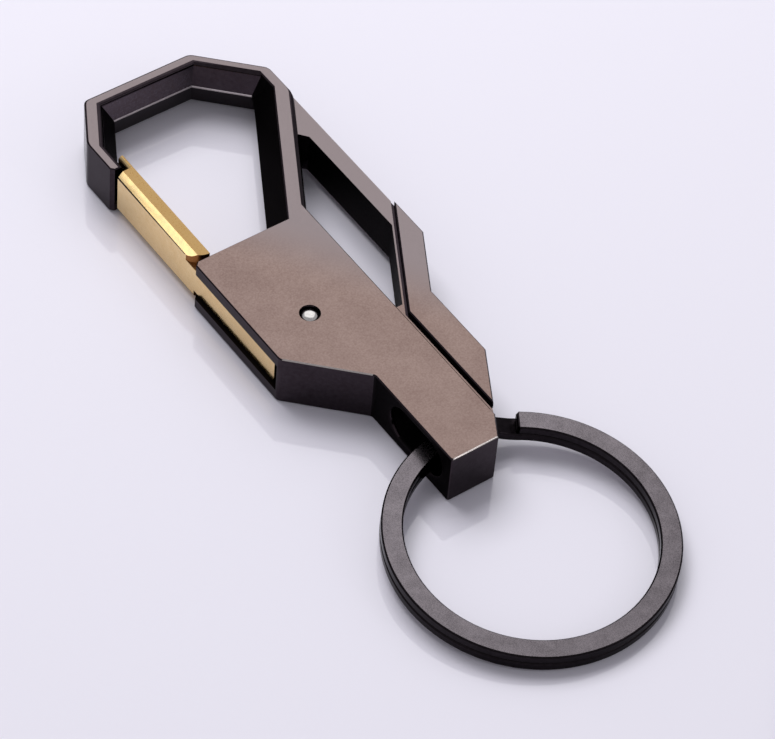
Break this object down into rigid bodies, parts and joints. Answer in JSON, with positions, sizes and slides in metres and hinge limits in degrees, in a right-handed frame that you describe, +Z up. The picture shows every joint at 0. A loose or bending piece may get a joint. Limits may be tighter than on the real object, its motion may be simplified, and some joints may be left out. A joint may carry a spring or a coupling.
{
  "type": "key ring with carabiner hook",
  "caption": "Cast metal carabiner hook with a sprung brass-coloured side gate and a steel split ring for keys, lying flat.",
  "frame": {"origin": "middle of the whole object's footprint, on the surface it lies on", "axes": "+Y along the key ring towards the hook, +X towards the side frame, +Z up from the surface"},
  "size_m": [0.032, 0.0914, 0.0069],
  "materials": {
    "gunmetal casting": "satin gunmetal plating on cast metal",
    "brass coloured gate": "satin brass colour",
    "bright steel rivet": "bright",
    "spring steel": "plain drawn wire",
    "dark steel ring": "dark satin plating"
  },
  "bodies": {
    "body": {"body": "gunmetal casting", "pivot_rivet": "bright steel rivet", "gate_spring": "spring steel"},
    "gate": {"gate": "brass coloured gate"},
    "ring": {"split_ring": "dark steel ring"}
  },
  "joints": [
    {"name": "gate_pivot", "type": "hinge", "parent": "body", "child": "gate", "pos_m": [-0.00427, 0.00548, 0.00345], "axis": [0, 0, -1], "range_deg": [0, 27], "stiffness_Nm_per_rad": 0.03, "springref_deg": -28.65, "deforming": ["gate_spring"]},
    {"name": "ring_swing", "type": "hinge", "parent": "body", "child": "ring", "pos_m": [0, -0.01488, 0.0033], "axis": [-1, 0, 0], "range_deg": [-150, 160]}
  ]
}
